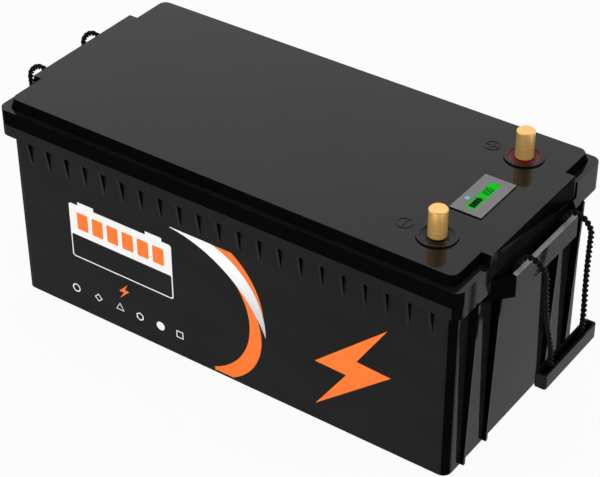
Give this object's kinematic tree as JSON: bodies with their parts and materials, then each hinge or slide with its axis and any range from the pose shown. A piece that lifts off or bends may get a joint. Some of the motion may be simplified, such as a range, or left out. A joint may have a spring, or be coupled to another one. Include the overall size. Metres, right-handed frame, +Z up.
{
  "type": "deep cycle battery",
  "caption": "Deep cycle battery: ribbed black case with a stepped lid, brass posts, a charge meter with a button, and a hanging rope handle at each end",
  "frame": {"origin": "middle of the underside of the case, on the surface it stands on", "axes": "+Z up, +X along the battery to the terminal end, -Y to the label side"},
  "size_m": [0.618, 0.254, 0.256],
  "materials": {
    "case_plastic": "black moulded ABS, glossy",
    "lid_plastic": "black moulded ABS, glossy",
    "seal_rubber": "soft rubber cord",
    "post_brass": "machined brass",
    "insulator_black": "black, polished",
    "insulator_red": "red, polished",
    "steel": "zinc plated",
    "bezel_grey": "grey faceplate, fine satin",
    "display_green": "green lit display",
    "white_plastic": "natural white",
    "circuit_board": "solder mask",
    "dark_plastic": "dark moulded",
    "button_blue": "pale blue",
    "film_white": "printed film, white",
    "film_black": "printed film, black",
    "film_orange": "printed film, orange",
    "film_silver": "printed film, white to silver",
    "rope": "braided black polyester rope",
    "grip_plastic": "black moulded grip",
    "cell_wrap": "aluminium can in blue film",
    "aluminium_plate": "mill finish",
    "copper": "bare copper",
    "foam": "closed cell foam",
    "epoxy_board": "glass epoxy",
    "cable_red": "silicone insulation",
    "cable_black": "silicone insulation",
    "tinned_lug": "tinned copper"
  },
  "bodies": {
    "battery": {"case": "case_plastic", "lid": "lid_plastic", "lid_seal": "seal_rubber", "terminal_post_negative": "post_brass", "terminal_post_positive": "post_brass", "terminal_insulator_negative": "insulator_black", "terminal_insulator_positive": "insulator_red", "terminal_washers": "steel", "terminal_nuts": "steel", "meter_bezel": "bezel_grey", "meter_display": "display_green", "meter_backlight": "white_plastic", "meter_board": "circuit_board", "meter_switch": "dark_plastic", "meter_cable": "cable_black", "label_badge": "film_white", "label_panel": "film_black", "label_blocks": "film_orange", "label_icons": "film_white", "label_swoosh_silver": "film_silver", "label_swoosh_orange": "film_orange", "label_bolt": "film_orange", "rope_ends_left": "rope", "rope_knots_left": "rope", "rope_ends_right": "rope", "rope_knots_right": "rope", "cell_1": "cell_wrap", "cell_2": "cell_wrap", "cell_3": "cell_wrap", "cell_4": "cell_wrap", "cell_5": "cell_wrap", "cell_6": "cell_wrap", "cell_7": "cell_wrap", "cell_8": "cell_wrap", "cell_spacers": "white_plastic", "end_plates": "aluminium_plate", "cell_straps": "steel", "busbars": "copper", "busbar_nuts": "steel", "base_pad": "foam", "end_foam": "foam", "side_foam": "foam", "top_board": "epoxy_board", "bms_board": "circuit_board", "bms_heatsink": "aluminium_plate", "bms_pads": "white_plastic", "bms_screws": "steel", "bms_terminals": "copper", "cable_positive": "cable_red", "cable_negative": "cable_black", "cable_output": "cable_black", "cable_lugs": "tinned_lug", "balance_harness": "cable_black", "balance_connector": "white_plastic", "temperature_probe": "tinned_lug"},
    "handle_left": {"rope_loop_left": "rope", "handle_bar_left": "grip_plastic"},
    "handle_right": {"rope_loop_right": "rope", "handle_bar_right": "grip_plastic"},
    "button": {"meter_button": "button_blue"}
  },
  "joints": [
    {"name": "handle_left_swing", "type": "hinge", "parent": "battery", "child": "handle_left", "pos_m": [-0.297, 0, 0.198], "axis": [0, 1, 0], "range_deg": [-10, 120], "deforming": ["rope_loop_left", "rope_ends_left"]},
    {"name": "handle_right_swing", "type": "hinge", "parent": "battery", "child": "handle_right", "pos_m": [0.297, 0, 0.198], "axis": [0, -1, 0], "range_deg": [-10, 120], "deforming": ["rope_loop_right", "rope_ends_right"]},
    {"name": "button_press", "type": "slide", "parent": "battery", "child": "button", "axis": [0, 0, -1], "range_m": [0, 0.0006], "stiffness_N_per_m": 800, "springref_m": -0.0005}
  ]
}
